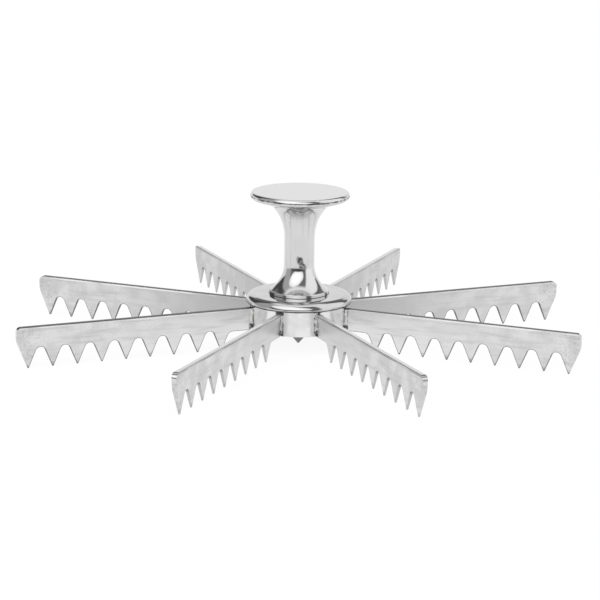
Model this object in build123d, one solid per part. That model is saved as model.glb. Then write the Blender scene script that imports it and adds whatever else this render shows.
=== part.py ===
"""A radial toothed marker: eight toothed blades on a round hub, pressed down with a palm handle.

The row frame has +Z up. The origin is on the hub's axis, in the plane of the tooth tips that the
tool stands on, and blade_1 points along +X. Every length is in millimetres.
"""

from build123d import *
import os
from math import acos, cos, degrees, radians, sin, tan

# Driving dimensions: the blades
blade_count = 8
blade_end_radius = 150.0  # hub axis to the outer end of a blade
blade_height = 21.0  # tooth tips to the blade's top edge
blade_top_thickness = 2.8
tooth_tip_thickness = 0.7
top_edge_radius = 0.45
tooth_pitch = 12.7
tooth_depth = 10.4  # tooth tips to the roof of a gullet
tooth_flank_angle = 22.5  # of one flank, from the vertical
tooth_tip_width = 0.5
end_face_height = 7.7  # the upright end, down to where the first tooth's flank begins
end_corner_radius = 2.8  # the rounded upper corner
end_flank_radius = 12.0  # where the first tooth's flank bends up to the upright end
root_bottom = 9.4  # tooth tips to the plain root's lower edge, flush with the drum
root_length = 14.0  # at least this much from the drum to the innermost tooth's tip
root_fillet_radius = 3.0  # where the innermost tooth runs up into the root

# Driving dimensions: the drum
drum_radius = 26.0
drum_wall = 3.0
drum_above_blades = 1.2
drum_edge_chamfer = 0.4

# Driving dimensions: the hub plate
plate_thickness = 4.5
plate_overhang = 1.1  # how far the plate stands out past the drum
plate_top_edge_radius = 3.6
plate_lower_edge_radius = 0.5
spigot_depth = 2.0  # the plate's step that drops into the drum

# Driving dimensions: what joins a blade to the drum
tab_thickness = 1.6
tab_below_blade_top = 1.8
tab_above_root_bottom = 2.8
tab_end_recess = 0.2  # the tab's end, from the drum's bore
joint_clearance = 0.05  # the braze film: at the tab, the blade's root and the spigot
weld_leg = 1.4
weld_hollow = 0.42  # the fillet's middle, out from the corner, along each leg
weld_below_blade_top = 0.5
weld_above_root_bottom = 2.3
weld_foot_slant = 45.0

# Driving dimensions: the palm handle
foot_radius = 15.3
foot_thickness = 1.93
foot_edge_radius = 0.5
foot_ledge = 0.1  # the flat ring between the foot's rounded rim and the lower cove
neck_radius = 7.75
lower_cove_radius = 16.1
neck_length = 13.6  # the straight stretch between the two coves
upper_cove_width = 15.0
upper_cove_height = 19.9
palm_radius = 25.3
palm_half_thickness = 2.0
palm_lower_edge = 2.5  # radial width of the rounding under the rim
palm_upper_edge = 1.4  # radial width of the rounding over the rim

# Driving dimensions: the pointed M6 screw from below, its washers and their holes
screw_radius = 3.0
screw_length = 25.0
screw_head_across_flats = 10.0
screw_head_height = 4.0
screw_tip_chamfer = 0.6
point_radius = 4.0  # the plain pin below the screw's head
point_half_angle = 40.0  # its cone, ending in the plane of the tooth tips
point_flat_radius = 0.4  # the blunted tip
thread_clearance = 0.03
plate_hole_radius = 3.3
washer_hole_radius = 3.2
flat_washer_radius = 6.0
flat_washer_thickness = 1.6
lock_washer_radius = 5.9
lock_washer_thickness = 1.6
lock_washer_split = 1.0
lock_washer_split_slant = 25.0
tapped_depth_past_screw = 3.0
drill_point_angle = 59.0  # half of the drill's point angle

# Heights and radii that follow from the sizes above
drum_top = blade_height + drum_above_blades
drum_height = drum_top - root_bottom
drum_bore_radius = drum_radius - drum_wall
plate_radius = drum_radius + plate_overhang
plate_top = drum_top + plate_thickness
spigot_bottom = drum_top - spigot_depth
flat_washer_bottom = spigot_bottom - flat_washer_thickness
lock_washer_bottom = flat_washer_bottom - lock_washer_thickness

# The blade's outline, from its tooth angle
flank_slope = tan(radians(tooth_flank_angle))
end_margin = (blade_height - end_face_height) * flank_slope
first_tip = blade_end_radius - end_margin - tooth_tip_width / 2
teeth_per_blade = 1 + int((first_tip - drum_radius - root_length) / tooth_pitch)
cut_past = 1.0  # how far a cutting shape runs past the face it opens


def ring(outer, inner, height, bottom):
    """A plain ring standing on the height given by bottom."""
    return Pos(0, 0, bottom + height / 2) * (
        Cylinder(outer, height) - Cylinder(inner, height)
    )


def revolved(profile):
    """The solid that a closed profile in the XZ plane sweeps about the Z axis."""
    return revolve(Plane.XZ * make_face(profile), Axis.Z)


def blade_outline():
    """The blade seen from its side: x is the distance from the hub's axis, y is the height."""
    half_tip = tooth_tip_width / 2
    gullet_half_width = tooth_pitch / 2 - half_tip
    apex_height = gullet_half_width / flank_slope
    root_start = drum_radius / 2
    last_tip = first_tip - tooth_pitch * (teeth_per_blade - 1)

    points = [(root_start, blade_height), (blade_end_radius, blade_height)]
    points.append((blade_end_radius, blade_height - end_face_height))
    gullets = []
    for tooth in range(teeth_per_blade):
        tip = first_tip - tooth * tooth_pitch
        points += [(tip + half_tip, 0), (tip - half_tip, 0)]
        if tooth < teeth_per_blade - 1:
            gullets.append((tip - tooth_pitch / 2, apex_height))
            points.append(gullets[-1])
    inner_corner = (last_tip - half_tip - root_bottom * flank_slope, root_bottom)
    points += [inner_corner, (root_start, root_bottom)]

    angle = radians(tooth_flank_angle)
    gullet_radius = (gullet_half_width * cos(angle) - tooth_depth * sin(angle)) / (
        1 - sin(angle)
    )
    corners = [
        (gullets, gullet_radius),
        ([points[1]], end_corner_radius),
        ([points[2]], end_flank_radius),
        ([inner_corner], root_fillet_radius),
    ]
    face = make_face(Polyline(*points, close=True))
    for places, radius in corners:
        chosen = [
            vertex
            for vertex in face.vertices()
            if any((Vector(*place) - vertex.center()).length < 1e-6 for place in places)
        ]
        face = fillet(chosen, radius)
    return face


def blade_section():
    """The blade cut across: thin at the tooth tips, thick and rounded at the top edge."""
    half_tip, half_top = tooth_tip_thickness / 2, blade_top_thickness / 2
    face = make_face(
        Polyline(
            (-half_tip, 0),
            (half_tip, 0),
            (half_top, blade_height),
            (-half_top, blade_height),
            close=True,
        )
    )
    return fillet(face.vertices().group_by(Axis.Y)[-1], top_edge_radius)


def tab_through_wall(inner_radius, clearance):
    """The blade's tenon from inner_radius outwards, or with a clearance the slot for it."""
    bottom = root_bottom + tab_above_root_bottom - clearance
    top = blade_height - tab_below_blade_top + clearance
    outer_radius = drum_radius + blade_top_thickness
    return Pos((inner_radius + outer_radius) / 2, 0, (bottom + top) / 2) * Box(
        outer_radius - inner_radius, tab_thickness + 2 * clearance, top - bottom
    )


def blade():
    """One toothed blade, pointing along +X, with its root fitted to the drum."""
    slab = extrude(Plane.XZ * blade_outline(), blade_top_thickness / 2, both=True)
    wedge = extrude(Plane.YZ * blade_section(), blade_end_radius)
    root_cut = Pos(0, 0, blade_height / 2) * Cylinder(
        drum_radius + joint_clearance, 2 * blade_height
    )
    return (slab & wedge) - root_cut + tab_through_wall(drum_bore_radius + tab_end_recess, 0)


def around(piece, index):
    """A piece on the +X blade, turned to where blade number index + 1 is."""
    return Rot(0, 0, index * 360 / blade_count) * piece


def drum():
    """The short tube that carries the blades, with one slot for each blade's tab."""
    body = ring(drum_radius, drum_bore_radius, drum_height, root_bottom)
    body = chamfer(body.edges().group_by(Axis.Z)[0], drum_edge_chamfer)
    slot = tab_through_wall(drum_bore_radius - cut_past, joint_clearance)
    for index in range(blade_count):
        body -= around(slot, index)
    return body


def blade_weld(blade_solid):
    """The two braze fillets beside one blade, in the corner between its faces and the drum."""
    top = blade_height - weld_below_blade_top
    bottom = root_bottom + weld_above_root_bottom
    half = blade_top_thickness / 2
    toe_on_blade = (drum_radius + weld_leg, half)
    toe_on_drum = (drum_radius - weld_leg / 2, half + weld_leg)
    middle = (drum_radius + weld_hollow, half + weld_hollow)
    buried = Polyline(
        toe_on_drum, (drum_radius - weld_leg, 0), (toe_on_blade[0], 0), toe_on_blade
    )
    outline = make_face(Curve() + [ThreePointArc(toe_on_blade, middle, toe_on_drum), buried])
    bar = extrude(Pos(0, 0, bottom) * outline, top - bottom)
    foot_cut = Pos(toe_on_blade[0], half, bottom) * Rot(0, weld_foot_slant, 0)
    bar -= foot_cut * Box(2 * weld_leg, 4 * weld_leg, 2 * weld_leg)
    solid_drum = Pos(0, 0, blade_height / 2) * Cylinder(drum_radius, 2 * blade_height)
    bead = bar - solid_drum - blade_solid
    bead = max(bead.solids(), key=lambda solid: solid.volume)
    return Compound(children=[bead, mirror(bead, Plane.XZ)])


def hub_plate():
    """The flat round plate over the drum: a rounded rim, and a spigot below."""
    body = Pos(0, 0, drum_top + plate_thickness / 2) * Cylinder(plate_radius, plate_thickness)
    rounding = min(
        plate_top_edge_radius, 0.95 * (plate_thickness - plate_lower_edge_radius)
    )
    body = fillet(body.edges().group_by(Axis.Z)[-1], rounding)
    body = fillet(body.edges().group_by(Axis.Z)[0], plate_lower_edge_radius)
    spigot = Pos(0, 0, drum_top - spigot_depth / 2) * Cylinder(
        drum_bore_radius - joint_clearance, spigot_depth
    )
    hole = Pos(0, 0, drum_top) * Cylinder(
        plate_hole_radius, 2 * (plate_thickness + spigot_depth)
    )
    return body + spigot - hole


def palm_handle():
    """The turned spool: a foot on the hub, a neck for two fingers and a flat palm disc."""
    foot_top = plate_top + foot_thickness
    foot_flat_radius = foot_radius - foot_edge_radius
    cove_end_radius = foot_flat_radius - foot_ledge
    cove_centre = neck_radius + lower_cove_radius
    cove_angle = degrees(acos((cove_centre - cove_end_radius) / lower_cove_radius))
    neck_start = foot_top + lower_cove_radius * sin(radians(cove_angle))
    neck_end = neck_start + neck_length
    palm_middle = neck_end + upper_cove_height + palm_half_thickness
    palm_top = palm_middle + palm_half_thickness
    lip_radius = neck_radius + upper_cove_width

    foot = Polyline(
        (0, plate_top), (foot_radius, plate_top), (foot_radius, foot_top - foot_edge_radius)
    )
    foot_edge = CenterArc(
        (foot_flat_radius, foot_top - foot_edge_radius), foot_edge_radius, 0, 90
    )
    ledge = Line(foot_edge @ 1, (cove_end_radius, foot_top))
    lower_cove = CenterArc(
        (cove_centre, neck_start), lower_cove_radius, 180 + cove_angle, -cove_angle
    )
    neck = Line(lower_cove @ 1, (neck_radius, neck_end))
    upper_cove = EllipticalCenterArc(
        (lip_radius, neck_end), upper_cove_width, upper_cove_height, 90, arc_size=90
    )
    under_edge = EllipticalCenterArc(
        (palm_radius - palm_lower_edge, palm_middle),
        palm_lower_edge,
        palm_half_thickness,
        -90,
        arc_size=90,
    )
    lip = Line(upper_cove @ 0, under_edge @ 0)
    over_edge = EllipticalCenterArc(
        (palm_radius - palm_upper_edge, palm_middle),
        palm_upper_edge,
        palm_half_thickness,
        0,
        arc_size=90,
    )
    top = Polyline(over_edge @ 1, (0, palm_top), (0, plate_top))
    spool = revolved(
        Curve()
        + [foot, foot_edge, ledge, lower_cove, neck, upper_cove, lip, under_edge, over_edge, top]
    )

    hole_radius = screw_radius + thread_clearance
    hole_top = lock_washer_bottom + screw_length + tapped_depth_past_screw
    drill_point = hole_radius / tan(radians(drill_point_angle))
    hole = revolved(
        Polyline(
            (0, plate_top - cut_past),
            (hole_radius, plate_top - cut_past),
            (hole_radius, hole_top),
            (0, hole_top + drill_point),
            close=True,
        )
    )
    return spool - hole


def handle_screw():
    """The hexagon-head screw that holds the handle, with a centring point below its head."""
    shank = Pos(0, 0, lock_washer_bottom + screw_length / 2) * Cylinder(
        screw_radius, screw_length
    )
    shank = chamfer(shank.edges().group_by(Axis.Z)[-1], screw_tip_chamfer)
    head_bottom = lock_washer_bottom - screw_head_height
    head = extrude(
        Pos(0, 0, head_bottom) * RegularPolygon(screw_head_across_flats / 2, 6, major_radius=False),
        screw_head_height,
    )
    cone_top = (point_radius - point_flat_radius) / tan(radians(point_half_angle))
    point = revolved(
        Polyline(
            (0, 0),
            (point_flat_radius, 0),
            (point_radius, cone_top),
            (point_radius, head_bottom),
            (0, head_bottom),
            close=True,
        )
    )
    return shank + head + point


def lock_washer():
    """The split ring between the screw's head and the flat washer."""
    body = ring(
        lock_washer_radius, washer_hole_radius, lock_washer_thickness, lock_washer_bottom
    )
    middle = lock_washer_bottom + lock_washer_thickness / 2
    split = Pos(lock_washer_radius, 0, middle) * Rot(lock_washer_split_slant, 0, 0)
    return body - split * Box(
        2 * lock_washer_radius, lock_washer_split, 4 * lock_washer_thickness
    )


def flat_washer():
    """The plain ring against the underside of the hub plate."""
    return ring(
        flat_washer_radius, washer_hole_radius, flat_washer_thickness, flat_washer_bottom
    )


def main():
    blade_solid = blade()
    weld = blade_weld(blade_solid)
    pieces = {
        "palm_handle": palm_handle(),
        "hub_plate": hub_plate(),
        "hub_drum": drum(),
        "handle_screw": handle_screw(),
        "lock_washer": lock_washer(),
        "flat_washer": flat_washer(),
    }
    for index in range(blade_count):
        pieces[f"blade_{index + 1}"] = around(blade_solid, index)
        pieces[f"blade_weld_{index + 1}"] = around(weld, index)

    os.makedirs("parts", exist_ok=True)
    for name, piece in pieces.items():
        export_step(piece, f"parts/{name}.step")


main()
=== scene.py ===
from math import cos, pi, radians, sin

import bpy
from mathutils import Matrix, Vector


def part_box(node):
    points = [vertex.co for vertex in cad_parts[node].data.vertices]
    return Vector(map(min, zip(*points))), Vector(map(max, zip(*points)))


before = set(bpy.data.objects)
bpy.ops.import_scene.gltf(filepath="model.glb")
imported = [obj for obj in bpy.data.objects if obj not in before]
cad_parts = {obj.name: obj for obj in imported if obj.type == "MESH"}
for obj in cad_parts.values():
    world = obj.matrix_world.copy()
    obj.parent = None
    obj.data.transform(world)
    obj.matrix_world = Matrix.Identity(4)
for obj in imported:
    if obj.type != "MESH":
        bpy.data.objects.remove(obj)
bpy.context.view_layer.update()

MM = 0.001


# ---------------------------------------------------------------------------------------------
# Hub drum. A short length of steel tube, faced to height, with eight slots cut through its wall
# for the blades' tenons. The whole tool is chromed in one go once it has been brazed together.
# ---------------------------------------------------------------------------------------------
BLADE_COUNT = sum(name.startswith("blade_") and name[6:].isdigit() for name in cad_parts)
BLADES = [f"blade_{number}" for number in range(1, BLADE_COUNT + 1)]
BLADE_WELDS = [f"blade_weld_{number}" for number in range(1, BLADE_COUNT + 1)]
DRUM_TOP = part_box("hub_drum")[1][2]
WELD_HALF_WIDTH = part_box("blade_weld_1")[1][1]
WELD_OUTER_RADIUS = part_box("blade_weld_1")[1][0]


def linear(hex_colour):
    """sRGB hex to the linear colour that a shader takes."""
    parts = [int(hex_colour[i:i + 2], 16) / 255 for i in (1, 3, 5)]
    return (*[c / 12.92 if c <= 0.04045 else ((c + 0.055) / 1.055) ** 2.4 for c in parts], 1)


def node(tree, kind, settings=(), **inputs):
    """Adds one node. A setting is one of its attributes. An input goes by its name, or by its
    number as in _0, and is a value or another node's output."""
    made = tree.nodes.new(kind)
    for name, value in dict(settings).items():
        setattr(made, name, value)
    for name, value in inputs.items():
        socket = made.inputs[int(name[1:]) if name[0] == "_" else name.replace("_", " ")]
        if isinstance(value, bpy.types.NodeSocket):
            tree.links.new(value, socket)
        else:
            socket.default_value = value
    return made


def step(tree, value, start, end):
    """A smooth mask that goes from 0 at start to 1 at end."""
    return node(tree, "ShaderNodeMapRange", {"interpolation_type": "SMOOTHSTEP"}, Value=value,
                From_Min=start, From_Max=end).outputs[0]


def multiplied(tree, first, *others):
    """Several masks multiplied together."""
    for other in others:
        first = node(tree, "ShaderNodeMath", {"operation": "MULTIPLY"}, _0=first, _1=other).outputs[0]
    return first


def band(tree, value, rises_from, rises_to, falls_from, falls_to):
    """A smooth mask that is 1 between rises_to and falls_from, and 0 beyond the outer two."""
    risen = step(tree, value, rises_from, rises_to)
    not_fallen = step(tree, value, falls_to, falls_from)
    return multiplied(tree, risen, not_fallen)


def chrome_plate(name, colour, clouded, polish, haze, ripple_mm, ripple_depth_mm):
    """Bright chrome over polished metal. The eye sees a neutral mirror with soft clouds where
    fingers dulled it, over the faint ripple that the polishing wheel left in the metal.
    Colour and polish are those of its clearest spots, clouded and haze of its cloudiest."""
    material = bpy.data.materials.new(name)
    material.use_nodes = True
    tree = material.node_tree
    tree.nodes.clear()
    place = node(tree, "ShaderNodeTexCoord").outputs["Object"]
    clouds = node(tree, "ShaderNodeTexNoise", Vector=place, Scale=1 / (9 * MM), Detail=4.0).outputs[0]
    clouds = step(tree, clouds, 0.36, 0.64)
    rough = node(tree, "ShaderNodeMapRange", Value=clouds, To_Min=polish, To_Max=haze)
    tint = node(tree, "ShaderNodeMix", {"data_type": "RGBA"}, _0=clouds, _6=linear(colour), _7=linear(clouded))
    ripple = node(tree, "ShaderNodeTexNoise", Vector=place, Scale=1 / (ripple_mm * MM), Detail=1.0)
    bump = node(tree, "ShaderNodeBump", Height=ripple.outputs[0], Strength=1.0,
                Distance=ripple_depth_mm * MM)
    shader = node(tree, "ShaderNodeBsdfPrincipled", Base_Color=tint.outputs[2], Metallic=1.0,
                  Roughness=rough.outputs[0], Normal=bump.outputs[0])
    node(tree, "ShaderNodeOutputMaterial", Surface=shader.outputs[0])
    return material, tree, place, shader


def blend_in(tree, shader, mask, colour, roughness):
    """Mixes a duller colour and its roughness into a shader where the mask is 1."""
    for socket_name, value in (("Base Color", linear(colour)), ("Roughness", roughness)):
        socket = shader.inputs[socket_name]
        under = socket.links[0].from_socket
        flat = socket_name == "Roughness"
        made = tree.nodes.new("ShaderNodeMix")
        made.data_type = "FLOAT" if flat else "RGBA"
        a, b, out = (2, 3, 0) if flat else (6, 7, 2)
        tree.links.new(mask, made.inputs[0])
        tree.links.new(under, made.inputs[a])
        made.inputs[b].default_value = value
        tree.links.new(made.outputs[out], socket)


def around_hub(tree, place):
    """The radius, the height, and the distance along the circle to the nearest blade's middle."""
    xyz = node(tree, "ShaderNodeSeparateXYZ", Vector=place)
    flat = node(tree, "ShaderNodeVectorMath", {"operation": "MULTIPLY"}, _0=place, _1=(1, 1, 0))
    radius = node(tree, "ShaderNodeVectorMath", {"operation": "LENGTH"}, _0=flat.outputs[0]).outputs["Value"]
    turn = node(tree, "ShaderNodeMath", {"operation": "ARCTAN2"}, _0=xyz.outputs[1], _1=xyz.outputs[0])
    off = node(tree, "ShaderNodeMath", {"operation": "PINGPONG"}, _0=turn.outputs[0], _1=pi / BLADE_COUNT)
    beside = node(tree, "ShaderNodeMath", {"operation": "MULTIPLY"}, _0=off.outputs[0], _1=radius)
    return radius, xyz.outputs[2], beside.outputs[0]


def patchy(tree, place, size_mm, least):
    """An irregular mask between least and 1, for a line that comes and goes."""
    spots = node(tree, "ShaderNodeTexNoise", Vector=place, Scale=1 / (size_mm * MM), Detail=3.0)
    return node(tree, "ShaderNodeMapRange", {"interpolation_type": "SMOOTHSTEP"}, Value=spots.outputs[0],
                From_Min=0.4, From_Max=0.6, To_Min=least, To_Max=1.0).outputs[0]


def cover(piece, material):
    """Puts one material on a piece."""
    piece.data.materials.clear()
    piece.data.materials.append(material)


drum_chrome, tree, place, shader = chrome_plate(
    "chrome_on_steel_tube", "#EAEAEA", "#DEDEDE", polish=0.16, haze=0.24, ripple_mm=9, ripple_depth_mm=0.015)
_, height, beside = around_hub(tree, place)

# Painted shade: a patchy dark band at the top of the drum, in the corner under the plate. Tarnish sits along the
# braze.
under_plate_painted_shade = multiplied(
    tree,
    step(tree, height, DRUM_TOP - 0.5 * MM, DRUM_TOP - 0.1 * MM),
    patchy(tree, place, size_mm=5, least=0.2),
)
blend_in(tree, shader, under_plate_painted_shade, "#6A6A69", roughness=0.5)
braze_toe = multiplied(
    tree,
    step(tree, beside, WELD_HALF_WIDTH + 0.55 * MM, WELD_HALF_WIDTH),
    patchy(tree, place, size_mm=1.6, least=0.0),
)
blend_in(tree, shader, braze_toe, "#4A4A49", roughness=0.5)

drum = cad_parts["hub_drum"]
cover(drum, drum_chrome)


# ---------------------------------------------------------------------------------------------
# Blades. Eight steel wedges, thick along the top and thin at the teeth, ground on both
# faces and left rough between the teeth. Each is held by a tenon through a slot in the drum.
# ---------------------------------------------------------------------------------------------
BLADE_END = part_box("blade_1")[1][0]
BLADE_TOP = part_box("blade_1")[1][2]
SHADE_AND_MOTTLE_RADIUS, DARKEST_SHADE_RADIUS = 128 * MM, 28 * MM
SMEAR_LENGTH, SMEAR_HEIGHT, SMEAR_TURN = 22 * MM, 2 * MM, 0.025
END_EDGE_WIDTH = 4.8 * MM
EDGE_BUFFED_FROM, EDGE_FULLY_BUFFED = 15.5 * MM, 17.5 * MM


def blade_plate(name, colour, clouded, hub_shade_colour, top_painted_pale):
    """Chrome over ground steel: two soft grey faces with painted shade towards the hub, darker
    unground metal between the teeth, and a top edge that is painted pale or painted dark."""
    material, tree, place, shader = chrome_plate(
        name, colour, clouded, polish=0.17, haze=0.3, ripple_mm=14, ripple_depth_mm=0.04)
    radius, height, beside = around_hub(tree, place)
    facing = node(tree, "ShaderNodeNewGeometry").outputs["Normal"]

    # Painted shade: towards the hub the faces are painted darker, for the hub and the other blades that they
    # reflect.
    inner_shade = step(tree, radius, SHADE_AND_MOTTLE_RADIUS, DARKEST_SHADE_RADIUS)
    blend_in(tree, shader, inner_shade, hub_shade_colour, roughness=0.34)

    # Smears of the wheel along the blade: 0.3 mm apart on the real faces, drawn at 2 mm so that
    # they show.
    turn = node(tree, "ShaderNodeMath", {"operation": "DIVIDE"}, _0=beside, _1=radius).outputs[0]
    wheel = node(tree, "ShaderNodeCombineXYZ", X=multiplied(tree, radius, 1 / SMEAR_LENGTH),
                 Y=multiplied(tree, height, 1 / SMEAR_HEIGHT), Z=multiplied(tree, turn, 1 / SMEAR_TURN)).outputs[0]
    smears = node(tree, "ShaderNodeTexNoise", Vector=wheel, Scale=1.0, Detail=3.0).outputs[0]
    smeared = multiplied(tree, step(tree, smears, 0.45, 0.72), 0.5)
    blend_in(tree, shader, smeared, "#BEBEBE", roughness=0.34)

    # Fine mottling of the plating at the outer end, where the bath's current was strongest.
    spots = node(tree, "ShaderNodeTexNoise", Vector=place, Scale=1 / (1.2 * MM), Detail=4.0).outputs[0]
    outer = step(tree, radius, SHADE_AND_MOTTLE_RADIUS, BLADE_END)
    mottled = multiplied(tree, step(tree, spots, 0.5, 0.66), outer, 0.5)
    blend_in(tree, shader, mottled, "#ABABAB", roughness=0.4)

    # A brown-grey bloom on some of the tooth tips, where the plate is thinnest.
    tip = step(tree, height, 3.4 * MM, 0.6 * MM)
    bloom = multiplied(tree, tip, patchy(tree, place, size_mm=7, least=0.0))
    blend_in(tree, shader, bloom, "#A3A2A0", roughness=0.4)

    # Tooth flanks and gullets were never ground, so they stay dull and a little darker. Past that their darkness
    # is painted shade: dark grey on the blades with a dark painted top, pale grey on the others, and darker
    # still in the roof of each gullet. A flank is told from a face by how far it turns away from the direction
    # across the blade.
    outward = node(tree, "ShaderNodeVectorMath", {"operation": "MULTIPLY"}, _0=place, _1=(1, 1, 0))
    across = node(tree, "ShaderNodeVectorMath", {"operation": "CROSS_PRODUCT"}, _0=(0, 0, 1), _1=outward.outputs[0])
    across = node(tree, "ShaderNodeVectorMath", {"operation": "NORMALIZE"}, _0=across.outputs[0])
    facing_across = node(tree, "ShaderNodeVectorMath", {"operation": "DOT_PRODUCT"},
                         _0=facing, _1=across.outputs[0]).outputs["Value"]
    flatness = node(tree, "ShaderNodeMath", {"operation": "ABSOLUTE"}, _0=facing_across).outputs[0]
    edge = step(tree, flatness, 0.99, 0.93)
    face = step(tree, flatness, 0.93, 0.99)
    inside_end = step(tree, radius, BLADE_END - END_EDGE_WIDTH, BLADE_END - END_EDGE_WIDTH - 0.8 * MM)
    unground_and_shade = multiplied(tree, edge, inside_end, step(tree, height, EDGE_FULLY_BUFFED, EDGE_BUFFED_FROM))
    blend_in(tree, shader, unground_and_shade, "#BCBCBB" if top_painted_pale else "#525251", roughness=0.36)
    # Painted shade in the roof of each gullet.
    above_flanks = step(tree, height, 7.5 * MM, 10 * MM)
    gullet_roof_shade = multiplied(tree, unground_and_shade, above_flanks)
    blend_in(tree, shader, gullet_roof_shade, "#868685" if top_painted_pale else "#444443", roughness=0.4)

    # The cutter left a fine burr round every gullet. Its dark line is drawn from an occlusion test and is stronger
    # on the blades with a dark painted top, so it is partly painted shade.
    depth = node(tree, "ShaderNodeAmbientOcclusion", {"inside": True, "only_local": True, "samples": 16},
                 Distance=0.7 * MM).outputs["AO"]
    at_an_edge = step(tree, depth, 0.84, 0.66)
    below_top = step(tree, height, 15 * MM, 13 * MM)
    burr_and_shade = multiplied(tree, at_an_edge, face, inside_end, below_top, 0.4 if top_painted_pale else 1.0)
    blend_in(tree, shader, burr_and_shade, "#6E6E6D", roughness=0.4)

    # The rounded edges along the top and at the outer corner are buffed bright. On the blades with a
    # dark painted top, the flat top is a painted reflection of a dark gap behind, with a painted highlight line
    # below it on each face.
    buffed = multiplied(tree, edge, step(tree, height, EDGE_BUFFED_FROM, EDGE_FULLY_BUFFED))
    blend_in(tree, shader, buffed, "#D6D6D6", roughness=0.07)
    at_top = step(tree, height, BLADE_TOP - 0.5 * MM, BLADE_TOP - 0.4 * MM)
    if top_painted_pale:
        # Painted light: near the hub the top is painted pale and matt, against the shade and dark reflections under
        # the plate.
        hub_end_painted_light = multiplied(tree, at_top, step(tree, radius, 54 * MM, 40 * MM))
        blend_in(tree, shader, hub_end_painted_light, "#F4F4F4", roughness=0.5)

        # Painted reflection: a thin grey line that comes and goes below the top on each face, for the dark gap
        # behind.
        face_painted_dark_line = multiplied(
            tree,
            step(tree, height, BLADE_TOP - 1.05 * MM, BLADE_TOP - 0.8 * MM),
            step(tree, height, BLADE_TOP - 0.45 * MM, BLADE_TOP - 0.6 * MM),
            patchy(tree, place, size_mm=24, least=0.3),
        )
        blend_in(tree, shader, face_painted_dark_line, "#707070", roughness=0.35)
    else:
        # Painted highlight: a bright line that comes and goes below the top on each face.
        painted_highlight_line = multiplied(
            tree,
            step(tree, height, BLADE_TOP - 1.2 * MM, BLADE_TOP - 0.8 * MM),
            patchy(tree, place, size_mm=35, least=0.1),
        )
        blend_in(tree, shader, painted_highlight_line, "#F2F2F2", roughness=0.2)
        # Painted reflection: the flat top is painted dark grey.
        upward = node(tree, "ShaderNodeSeparateXYZ", Vector=facing).outputs[2]
        ground = multiplied(tree, at_top, step(tree, upward, 0.35, 0.55))
        blend_in(tree, shader, ground, "#5A5A59", roughness=0.33)

    # Tarnish along the braze at the root, in short broken lines.
    root_line = multiplied(
        tree,
        step(tree, radius, WELD_OUTER_RADIUS + 0.55 * MM, WELD_OUTER_RADIUS + 0.1 * MM),
        step(tree, height, 20.2 * MM, 19 * MM),
        patchy(tree, place, size_mm=1.8, least=0.0),
    )
    blend_in(tree, shader, root_line, "#5E5E5D", roughness=0.5)
    return material


# Painted light: four blades get a top painted pale, and on the four others the top is painted dark, a painted
# reflection of a dark gap behind.
# Each pair is a lit or a shaded copy of one chrome, so the greys of the pairs differ by painted shade.
dark_top_lit_copy = blade_plate("chrome_blade_with_dark_painted_top_lit", "#DDDDDD", "#D2D2D2", "#E6E6E6", top_painted_pale=False)
dark_top_shaded_copy = blade_plate("chrome_blade_with_dark_painted_top_shaded", "#DCDCDC", "#CFCFCF", "#BCBCBC", top_painted_pale=False)
pale_top_shaded_copy = blade_plate("chrome_blade_with_pale_painted_top_shaded", "#CDCDCD", "#C0C0C0", "#B4B4B4", top_painted_pale=True)
pale_top_lit_copy = blade_plate("chrome_blade_with_pale_painted_top_lit", "#D8D8D8", "#CBCBCB", "#D6D6D6", top_painted_pale=True)
BLADE_PAINTED_LIGHT = {
    "blade_1": dark_top_lit_copy, "blade_6": dark_top_lit_copy,
    "blade_2": dark_top_shaded_copy, "blade_5": dark_top_shaded_copy,
    "blade_3": pale_top_shaded_copy, "blade_4": pale_top_shaded_copy,
    "blade_7": pale_top_lit_copy, "blade_8": pale_top_lit_copy,
}
for name in BLADES:
    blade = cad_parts[name]
    cover(blade, BLADE_PAINTED_LIGHT[name])


# ---------------------------------------------------------------------------------------------
# Braze fillets. Bronze run by hand into the corner on each side of a blade, wire brushed and
# chromed over, so each bead is a little lumpy and duller than what it joins.
# ---------------------------------------------------------------------------------------------
braze, tree, place, shader = chrome_plate(
    "chrome_over_braze", "#E6E5E3", "#D0CFCD", polish=0.3, haze=0.45, ripple_mm=0.9, ripple_depth_mm=0.16)
radius, _, beside = around_hub(tree, place)
drum_toe = step(tree, beside, WELD_HALF_WIDTH - 0.45 * MM, WELD_HALF_WIDTH - 0.1 * MM)
blade_toe = step(tree, radius, WELD_OUTER_RADIUS - 0.3 * MM, WELD_OUTER_RADIUS - 0.05 * MM)
toes = node(tree, "ShaderNodeMath", {"operation": "MAXIMUM"}, _0=drum_toe, _1=blade_toe).outputs[0]
tarnished_toes = multiplied(tree, toes, patchy(tree, place, size_mm=2.2, least=0.0))
blend_in(tree, shader, tarnished_toes, "#9A9A97", roughness=0.5)

# The beads were laid by hand, so they swell and shrink by about a quarter of a millimetre.
lumps = bpy.data.textures.new("hand_laid_lumps", "CLOUDS")
lumps.noise_scale = 1.7 * MM
for name in BLADE_WELDS:
    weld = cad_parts[name]
    skin = weld.modifiers.new("even_skin", "REMESH")
    skin.mode = "VOXEL"
    skin.voxel_size = 0.14 * MM
    skin.use_smooth_shade = True
    swell = weld.modifiers.new("hand_laid", "DISPLACE")
    swell.texture = lumps
    swell.texture_coords = "LOCAL"
    swell.strength = 0.7 * MM
    cover(weld, braze)


# ---------------------------------------------------------------------------------------------
# Hub plate. A turned steel disc with a rounded rim that closes the drum and carries the handle.
# It is the best polished part of the hub and shows the handle's foot upside down in its top.
# ---------------------------------------------------------------------------------------------
PLATE_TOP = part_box("hub_plate")[1][2]
FOOT_RADIUS = 15.3 * MM

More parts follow.
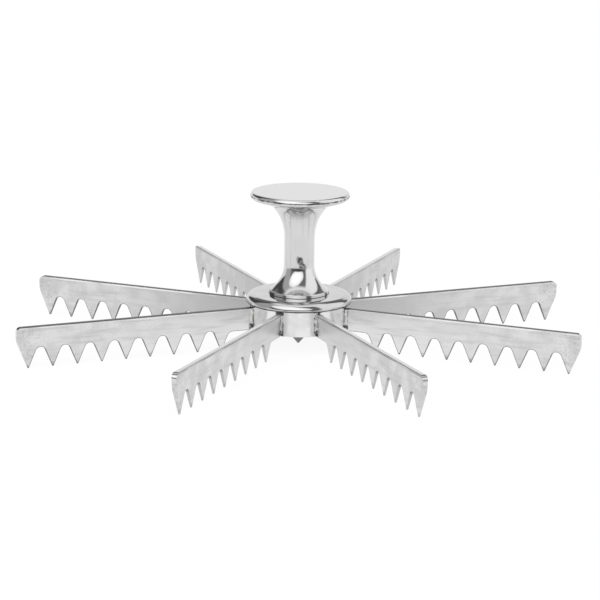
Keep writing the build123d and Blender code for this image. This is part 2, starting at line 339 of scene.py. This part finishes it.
plate_chrome, tree, place, shader = chrome_plate(
    "chrome_on_turned_steel", "#CCCCCC", "#C6C6C6", polish=0.04, haze=0.1, ripple_mm=8, ripple_depth_mm=0.02)
radius, height, _ = around_hub(tree, place)

# Painted shade: the lower edge is painted dark, for the shadow and the dark reflections under the plate.
lower_edge_painted_shade = multiplied(
    tree,
    step(tree, height, DRUM_TOP + 0.85 * MM, DRUM_TOP + 0.5 * MM),
    patchy(tree, place, size_mm=6, least=0.8),
)
blend_in(tree, shader, lower_edge_painted_shade, "#404040", roughness=0.5)
# Painted shade in the seam round the handle's foot.
foot_seam_painted_shade = multiplied(
    tree,
    step(tree, radius, FOOT_RADIUS + 0.32 * MM, FOOT_RADIUS + 0.12 * MM),
    step(tree, height, PLATE_TOP - 0.1 * MM, PLATE_TOP),
)
blend_in(tree, shader, foot_seam_painted_shade, "#4A4A49", roughness=0.5)

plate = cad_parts["hub_plate"]
cover(plate, plate_chrome)


# ---------------------------------------------------------------------------------------------
# Palm handle. One piece turned from bar: a foot, a neck for two fingers between two coves, and
# a flat disc for the palm. It is buffed on the lathe and chromed, and the palm dulls its top.
# ---------------------------------------------------------------------------------------------
PALM_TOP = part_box("palm_handle")[1][2]
NECK_RADIUS = 7.75 * MM
HELD_HEIGHTS = (42 * MM, 47 * MM, 70 * MM, 74 * MM)
GRIPPED_HEIGHTS = (54 * MM, 60 * MM, 69 * MM, 71 * MM)
STAIN_AZIMUTH, STAIN_HEIGHT = radians(-60), 43.5 * MM
STAIN_LEAN, STAIN_SQUASH = 0.45, 0.62
STAIN_REACH, STAIN_CORE = 2.7 * MM, 1.5 * MM

handle_chrome, tree, place, shader = chrome_plate(
    "chrome_on_turned_bar", "#D6D6D6", "#D1D1D1", polish=0.07, haze=0.14, ripple_mm=9, ripple_depth_mm=0.03)
radius, height, _ = around_hub(tree, place)

# The palm's fine scratches make the flat top hazier and paler than the rest.
on_top = step(tree, height, PALM_TOP - 0.1 * MM, PALM_TOP - 0.02 * MM)
blend_in(tree, shader, on_top, "#DFDFDF", roughness=0.2)

# Buffing rings: a tenth of a millimetre apart on the real disc, drawn at 0.9 mm so that they show.
ring = node(tree, "ShaderNodeMath", {"operation": "DIVIDE"}, _0=radius, _1=0.9 * MM).outputs[0]
rings = node(tree, "ShaderNodeTexNoise", {"noise_dimensions": "1D"}, W=ring, Scale=1.0, Detail=2.0).outputs[0]
ring_bump = node(tree, "ShaderNodeBump", Height=multiplied(tree, rings, on_top), Strength=1.0,
                 Distance=0.004 * MM, Normal=shader.inputs["Normal"].links[0].from_socket)
tree.links.new(ring_bump.outputs[0], shader.inputs["Normal"])

# Fingers dull the neck between the coves, and most of all its upper half, where they grip.
held = band(tree, height, *HELD_HEIGHTS)
blend_in(tree, shader, held, "#D5D5D5", roughness=0.14)
gripped = band(tree, height, *GRIPPED_HEIGHTS)
blend_in(tree, shader, gripped, "#D7D7D7", roughness=0.24)

# Painted shade under the foot's edge, in the seam with the plate.
foot_line_painted_shade = step(tree, height, PLATE_TOP + 0.3 * MM, PLATE_TOP + 0.12 * MM)
blend_in(tree, shader, foot_line_painted_shade, "#4A4A49", roughness=0.5)

# One ragged, leaning stain low on the neck, where two drops dried.
stain_at = (NECK_RADIUS * cos(STAIN_AZIMUTH), NECK_RADIUS * sin(STAIN_AZIMUTH), STAIN_HEIGHT)
wander = node(tree, "ShaderNodeTexNoise", Vector=place, Scale=1 / (2.4 * MM), Detail=2.0)
wander = node(tree, "ShaderNodeVectorMath", {"operation": "SUBTRACT"}, _0=wander.outputs[1], _1=(0.5, 0.5, 0.5))
wander = node(tree, "ShaderNodeVectorMath", {"operation": "SCALE"}, _0=wander.outputs[0], Scale=3.2 * MM)
strayed = node(tree, "ShaderNodeVectorMath", {"operation": "ADD"}, _0=place, _1=wander.outputs[0])
from_stain = node(tree, "ShaderNodeVectorMath", {"operation": "SUBTRACT"}, _0=strayed.outputs[0], _1=stain_at)
above_stain = node(tree, "ShaderNodeSeparateXYZ", Vector=from_stain.outputs[0]).outputs[2]
lean = node(tree, "ShaderNodeVectorMath", {"operation": "SCALE"}, Scale=above_stain,
            _0=(-STAIN_LEAN * sin(STAIN_AZIMUTH), STAIN_LEAN * cos(STAIN_AZIMUTH), 0))
from_stain = node(tree, "ShaderNodeVectorMath", {"operation": "ADD"}, _0=from_stain.outputs[0], _1=lean.outputs[0])
from_stain = node(tree, "ShaderNodeVectorMath", {"operation": "MULTIPLY"}, _0=from_stain.outputs[0],
                  _1=(1, 1, STAIN_SQUASH))
reach = node(tree, "ShaderNodeVectorMath", {"operation": "LENGTH"}, _0=from_stain.outputs[0]).outputs["Value"]
stain = multiplied(tree, step(tree, reach, STAIN_REACH, STAIN_CORE), patchy(tree, place, size_mm=1.8, least=0.5))
blend_in(tree, shader, stain, "#5A5A59", roughness=0.45)

# A broken dark line along the middle of the rim.
on_rim = step(tree, radius, 24.0 * MM, 24.8 * MM)
rim_middle_band = band(tree, height, PALM_TOP - 2.4 * MM, PALM_TOP - 2.1 * MM, PALM_TOP - 1.6 * MM, PALM_TOP - 1.3 * MM)
rim_dark_line = multiplied(tree, on_rim, rim_middle_band, patchy(tree, place, size_mm=2.6, least=0.1))
blend_in(tree, shader, rim_dark_line, "#5A5A59", roughness=0.4)

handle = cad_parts["palm_handle"]
cover(handle, handle_chrome)


# ---------------------------------------------------------------------------------------------
# Handle screw and washers. An M6 hexagon-head screw with a turned centring point, a split
# spring washer and a plain washer, of zinc plated steel. They pull the handle down on the plate
# from below, and the point marks the cake's centre.
# ---------------------------------------------------------------------------------------------
FASTENERS = ["handle_screw", "lock_washer", "flat_washer"]
GROOVE_PITCH = 0.35 * MM
POINT_BASE = 9 * MM

# Zinc plate on turned and stamped steel: bluish grey, duller than chrome, with small crystals.
zinc = bpy.data.materials.new("bright_zinc_plate")
zinc.use_nodes = True
tree = zinc.node_tree
tree.nodes.clear()
place = node(tree, "ShaderNodeTexCoord").outputs["Object"]
radius, height, _ = around_hub(tree, place)
crystals = node(tree, "ShaderNodeTexVoronoi", Vector=place, Scale=1 / (0.7 * MM), Randomness=1.0).outputs["Color"]
grey = node(tree, "ShaderNodeSeparateColor", Color=crystals).outputs[0]
colour = node(tree, "ShaderNodeMix", {"data_type": "RGBA"}, _0=grey, _6=linear("#B0B2B4"), _7=linear("#989A9D"))
rough = node(tree, "ShaderNodeMapRange", Value=grey, To_Min=0.26, To_Max=0.42)

# Turning marks on the screw's head and point: 0.1 mm apart on the real one, drawn coarser so
# that they show.
groove = node(tree, "ShaderNodeMath", {"operation": "MULTIPLY"}, _0=radius, _1=2 * pi / GROOVE_PITCH).outputs[0]
grooves = node(tree, "ShaderNodeMath", {"operation": "SINE"}, _0=groove).outputs[0]
bump = node(tree, "ShaderNodeBump", Height=grooves, Strength=1.0, Distance=0.006 * MM)
shader = node(tree, "ShaderNodeBsdfPrincipled", Base_Color=colour.outputs[2], Metallic=1.0,
              Roughness=rough.outputs[0], Normal=bump.outputs[0])

# Painted shade: the point sits in the shadow under the hub, and it is painted darker grey.
point = step(tree, height, POINT_BASE, POINT_BASE - 1 * MM)
blend_in(tree, shader, point, "#7A7A7A", roughness=0.45)
node(tree, "ShaderNodeOutputMaterial", Surface=shader.outputs[0])

for name in FASTENERS:
    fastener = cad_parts[name]
    cover(fastener, zinc)


# ---------------------------------------------------------------------------------------------
# Floor. A wide round table of white opal acrylic lit from below, so the tool hardly shades it.
# ---------------------------------------------------------------------------------------------
FLOOR_RADIUS = 420 * MM
FLOOR_SIDES = 160
TABLE_GLOW = 0.91

turns = [2 * pi * side / FLOOR_SIDES for side in range(FLOOR_SIDES)]
rim = [(FLOOR_RADIUS * cos(turn), FLOOR_RADIUS * sin(turn), 0) for turn in turns]
floor_mesh = bpy.data.meshes.new("floor")
floor_mesh.from_pydata(rim, [], [list(range(FLOOR_SIDES))])
floor = bpy.data.objects.new("floor", floor_mesh)
bpy.context.scene.collection.objects.link(floor)

opal = bpy.data.materials.new("lit_opal_acrylic")
opal.use_nodes = True
tree = opal.node_tree
tree.nodes.clear()
shader = node(tree, "ShaderNodeBsdfPrincipled", Base_Color=linear("#616161"), Roughness=0.9,
              Emission_Color=linear("#FFFFFF"), Emission_Strength=TABLE_GLOW, Specular_IOR_Level=0.0)
node(tree, "ShaderNodeOutputMaterial", Surface=shader.outputs[0])
floor_mesh.materials.append(opal)


# ---------------------------------------------------------------------------------------------
# Light. A pale tent around the table: one large soft panel in front on the left, a paler side
# on the right, dark gaps between them that draw the edges of the chrome, and a soft ceiling.
# ---------------------------------------------------------------------------------------------
CAMERA_AZIMUTH = radians(-67.88)
PANEL_AZIMUTH, PANEL_ELEVATION = radians(-20), radians(30)
PANEL_HALF_WIDTH, PANEL_HALF_HEIGHT = radians(47), radians(31)
PANEL_LEAN = -0.6
STRIP_AZIMUTH, STRIP_FALL = radians(-4), 0.17
PANEL_LIGHT, PANEL_FALL, CEILING_LIGHT, GAP_LIGHT, STRIP_LIGHT = 1.7, -0.6, 1.1, 0.2, 0.06
PALE_WALL = 0.95
# Light of the tent's wall by bearing, in degrees to the right of the camera.
WALL_LIGHT = [
    (-180, PALE_WALL), (-158, PALE_WALL), (-150, 0.08), (-114, 0.08), (-104, 0.5), (-70, 0.5), (-58, 0.2),
    (44, 0.2), (56, 1.15), (118, 1.15), (125, 0.15), (137, 0.15), (144, PALE_WALL), (180, PALE_WALL),
]

world = bpy.data.worlds.new("studio")
bpy.context.scene.world = world
world.use_nodes = True
tree = world.node_tree
tree.nodes.clear()
toward = node(tree, "ShaderNodeTexCoord").outputs["Generated"]
turned = node(tree, "ShaderNodeVectorRotate", {"rotation_type": "Z_AXIS"}, Vector=toward, Angle=-CAMERA_AZIMUTH)
xyz = node(tree, "ShaderNodeSeparateXYZ", Vector=turned.outputs[0])
bearing = node(tree, "ShaderNodeMath", {"operation": "ARCTAN2"}, _0=xyz.outputs[1], _1=xyz.outputs[0]).outputs[0]
elevation = node(tree, "ShaderNodeMath", {"operation": "ARCSINE"}, _0=xyz.outputs[2]).outputs[0]

share = node(tree, "ShaderNodeMapRange", Value=bearing, From_Min=-pi, From_Max=pi)
ramp = node(tree, "ShaderNodeValToRGB", Fac=share.outputs[0])
ramp.color_ramp.interpolation = "EASE"
stops = ramp.color_ramp.elements
stops.remove(stops[1])
for index, (degrees_right, light) in enumerate(WALL_LIGHT):
    where = (degrees_right + 180) / 360
    stop = stops.new(where) if index else stops[0]
    stop.position = where
    grey = light / PANEL_LIGHT
    stop.color = (grey, grey, grey, 1)
wall = multiplied(tree, ramp.outputs[0], PANEL_LIGHT)


def lit(tree, under, mask, light):
    """The light under, with another value laid over it where the mask is 1."""
    return node(tree, "ShaderNodeMix", {"data_type": "FLOAT"}, _0=mask, _2=under, _3=light).outputs[0]


# Behind the tool the wall ends low, and the gap above it draws a thin dark line on each rim.
to_a_side = node(tree, "ShaderNodeMath", {"operation": "ABSOLUTE"}, _0=bearing).outputs[0]
behind = multiplied(
    tree,
    step(tree, to_a_side, radians(128), radians(142)),
    step(tree, elevation, radians(26), radians(32)),
)
light = lit(tree, wall, behind, GAP_LIGHT)

# The ceiling closes the tent.
ceiling = step(tree, elevation, radians(54), radians(66))
light = lit(tree, light, ceiling, CEILING_LIGHT)

# Low down at both sides behind, the wall is as pale as the table.
low = multiplied(
    tree,
    step(tree, to_a_side, radians(100), radians(116)),
    step(tree, elevation, radians(12), radians(7)),
)
light = lit(tree, light, low, PALE_WALL)

# The panel is an oval that leans to the left as it rises, and is brightest in its middle.
rise = node(tree, "ShaderNodeMath", {"operation": "SUBTRACT"}, _0=elevation, _1=PANEL_ELEVATION).outputs[0]
middle = node(tree, "ShaderNodeMath", {"operation": "MULTIPLY_ADD"},
              _0=rise, _1=PANEL_LEAN, _2=PANEL_AZIMUTH).outputs[0]
aside = node(tree, "ShaderNodeMath", {"operation": "SUBTRACT"}, _0=bearing, _1=middle).outputs[0]
oval = node(tree, "ShaderNodeCombineXYZ", X=multiplied(tree, aside, 1 / PANEL_HALF_WIDTH),
            Y=multiplied(tree, rise, 1 / PANEL_HALF_HEIGHT))
oval = node(tree, "ShaderNodeVectorMath", {"operation": "LENGTH"}, _0=oval.outputs[0]).outputs["Value"]
panel = node(tree, "ShaderNodeMath", {"operation": "MULTIPLY_ADD"},
             _0=multiplied(tree, oval, oval), _1=PANEL_FALL, _2=PANEL_LIGHT).outputs[0]
on_panel = step(tree, oval, 1.04, 0.95)
light = lit(tree, light, on_panel, panel)

# A dark strip lies beyond the table's edge in front, highest in the middle.
away = node(tree, "ShaderNodeMath", {"operation": "SUBTRACT"}, _0=bearing, _1=STRIP_AZIMUTH).outputs[0]
sunk = node(tree, "ShaderNodeMath", {"operation": "MULTIPLY_ADD"},
            _0=multiplied(tree, away, away), _1=STRIP_FALL, _2=elevation).outputs[0]
strip = multiplied(
    tree,
    step(tree, sunk, radians(8), radians(4)),
    band(tree, away, radians(-70), radians(-56), radians(56), radians(70)),
)
light = lit(tree, light, strip, STRIP_LIGHT)

# The eye sees a plain white room behind the tool.
seen = node(tree, "ShaderNodeLightPath").outputs["Is Camera Ray"]
backdrop = node(tree, "ShaderNodeBackground", Color=linear("#FFFFFF"), Strength=lit(tree, light, seen, 1.0))
node(tree, "ShaderNodeOutputWorld", Surface=backdrop.outputs[0])


# ---------------------------------------------------------------------------------------------
# Camera. A long lens a little over a metre away, level with the eye of someone at the bench.
# ---------------------------------------------------------------------------------------------
CAMERA_PLACE = Vector((0.438444, -1.078672, 0.303260))
HEADING, PITCH, ROLL = radians(112.0884), radians(-13.5505), radians(0.7345)

camera = bpy.data.objects.new("camera", bpy.data.cameras.new("camera"))
bpy.context.scene.collection.objects.link(camera)
ahead = Vector((cos(PITCH) * cos(HEADING), cos(PITCH) * sin(HEADING), sin(PITCH)))
level = ahead.cross(Vector((0, 0, 1))).normalized()
overhead = level.cross(ahead)
right = cos(ROLL) * level + sin(ROLL) * overhead
up = cos(ROLL) * overhead - sin(ROLL) * level
camera.matrix_world = Matrix((right, up, -ahead)).transposed().to_4x4()
camera.matrix_world.translation = CAMERA_PLACE
camera.data.sensor_width = 36
camera.data.lens = 139.896
camera.data.clip_end = 100
bpy.context.scene.camera = camera
bpy.context.scene.view_settings.view_transform = "Standard"
